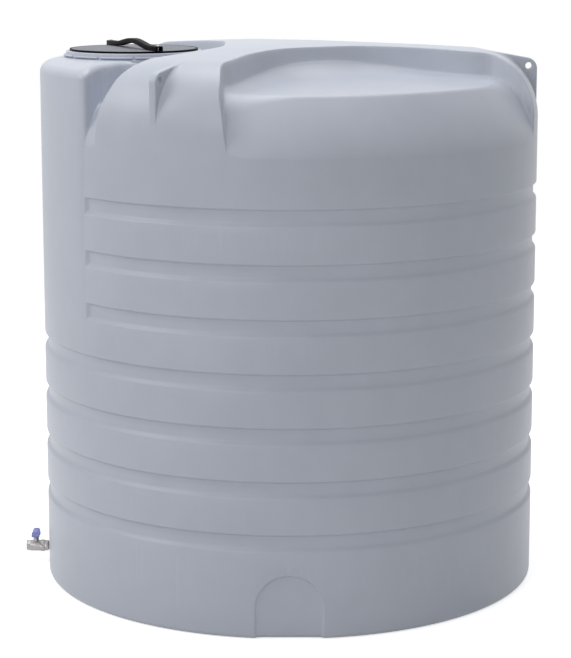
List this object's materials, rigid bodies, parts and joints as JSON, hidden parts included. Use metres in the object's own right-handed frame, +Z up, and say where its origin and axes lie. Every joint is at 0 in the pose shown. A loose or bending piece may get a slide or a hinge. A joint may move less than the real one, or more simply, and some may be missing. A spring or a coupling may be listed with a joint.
{
  "type": "water tank",
  "caption": "Round moulded plastic rainwater tank with a raised inlet neck, a lift-out mesh strainer and a quarter-turn ball valve at its base.",
  "frame": {"origin": "centre of the tank's flat base, on the ground", "axes": "+Z up; the inlet tower, its plain front panel and the outlet valve face -Y; +X is the side the picture was taken from"},
  "size_m": [1.834, 1.926, 2.0016],
  "materials": {
    "tank_polyethylene": "satin moulded, faintly mottled",
    "black_moulding": "satin",
    "strainer_mesh_steel": "fine woven mesh",
    "nickel_plated_brass": "dull nickel plate",
    "plain_brass": "satin",
    "stainless_steel": "satin",
    "ball_chrome": "polished",
    "black_rubber": "matt",
    "white_nylon": "satin",
    "seat_plastic": "smooth",
    "handle_blue": "dipped paint"
  },
  "bodies": {
    "tank": {"tank_body": "tank_polyethylene", "strainer_basket": "black_moulding", "strainer_mesh": "strainer_mesh_steel", "strainer_handle": "black_moulding", "handle_screw_1": "stainless_steel", "handle_screw_2": "stainless_steel", "outlet_fitting": "nickel_plated_brass", "outlet_gasket": "black_rubber", "outlet_washer": "white_nylon", "outlet_locknut": "plain_brass", "outlet_nipple": "nickel_plated_brass", "valve_body": "nickel_plated_brass", "valve_end": "nickel_plated_brass", "ball_seat_inner": "seat_plastic", "ball_seat_outer": "seat_plastic", "stem_washer": "seat_plastic", "stem_packing": "seat_plastic", "gland_nut": "nickel_plated_brass"},
    "valve_lever": {"valve_handle": "handle_blue", "handle_nut": "stainless_steel", "valve_stem": "stainless_steel", "valve_ball": "ball_chrome"}
  },
  "joints": [
    {"name": "valve_turn", "type": "hinge", "parent": "tank", "child": "valve_lever", "pos_m": [0, -0.9735, 0.06], "axis": [0, 0, 1], "range_deg": [0, 90]}
  ]
}
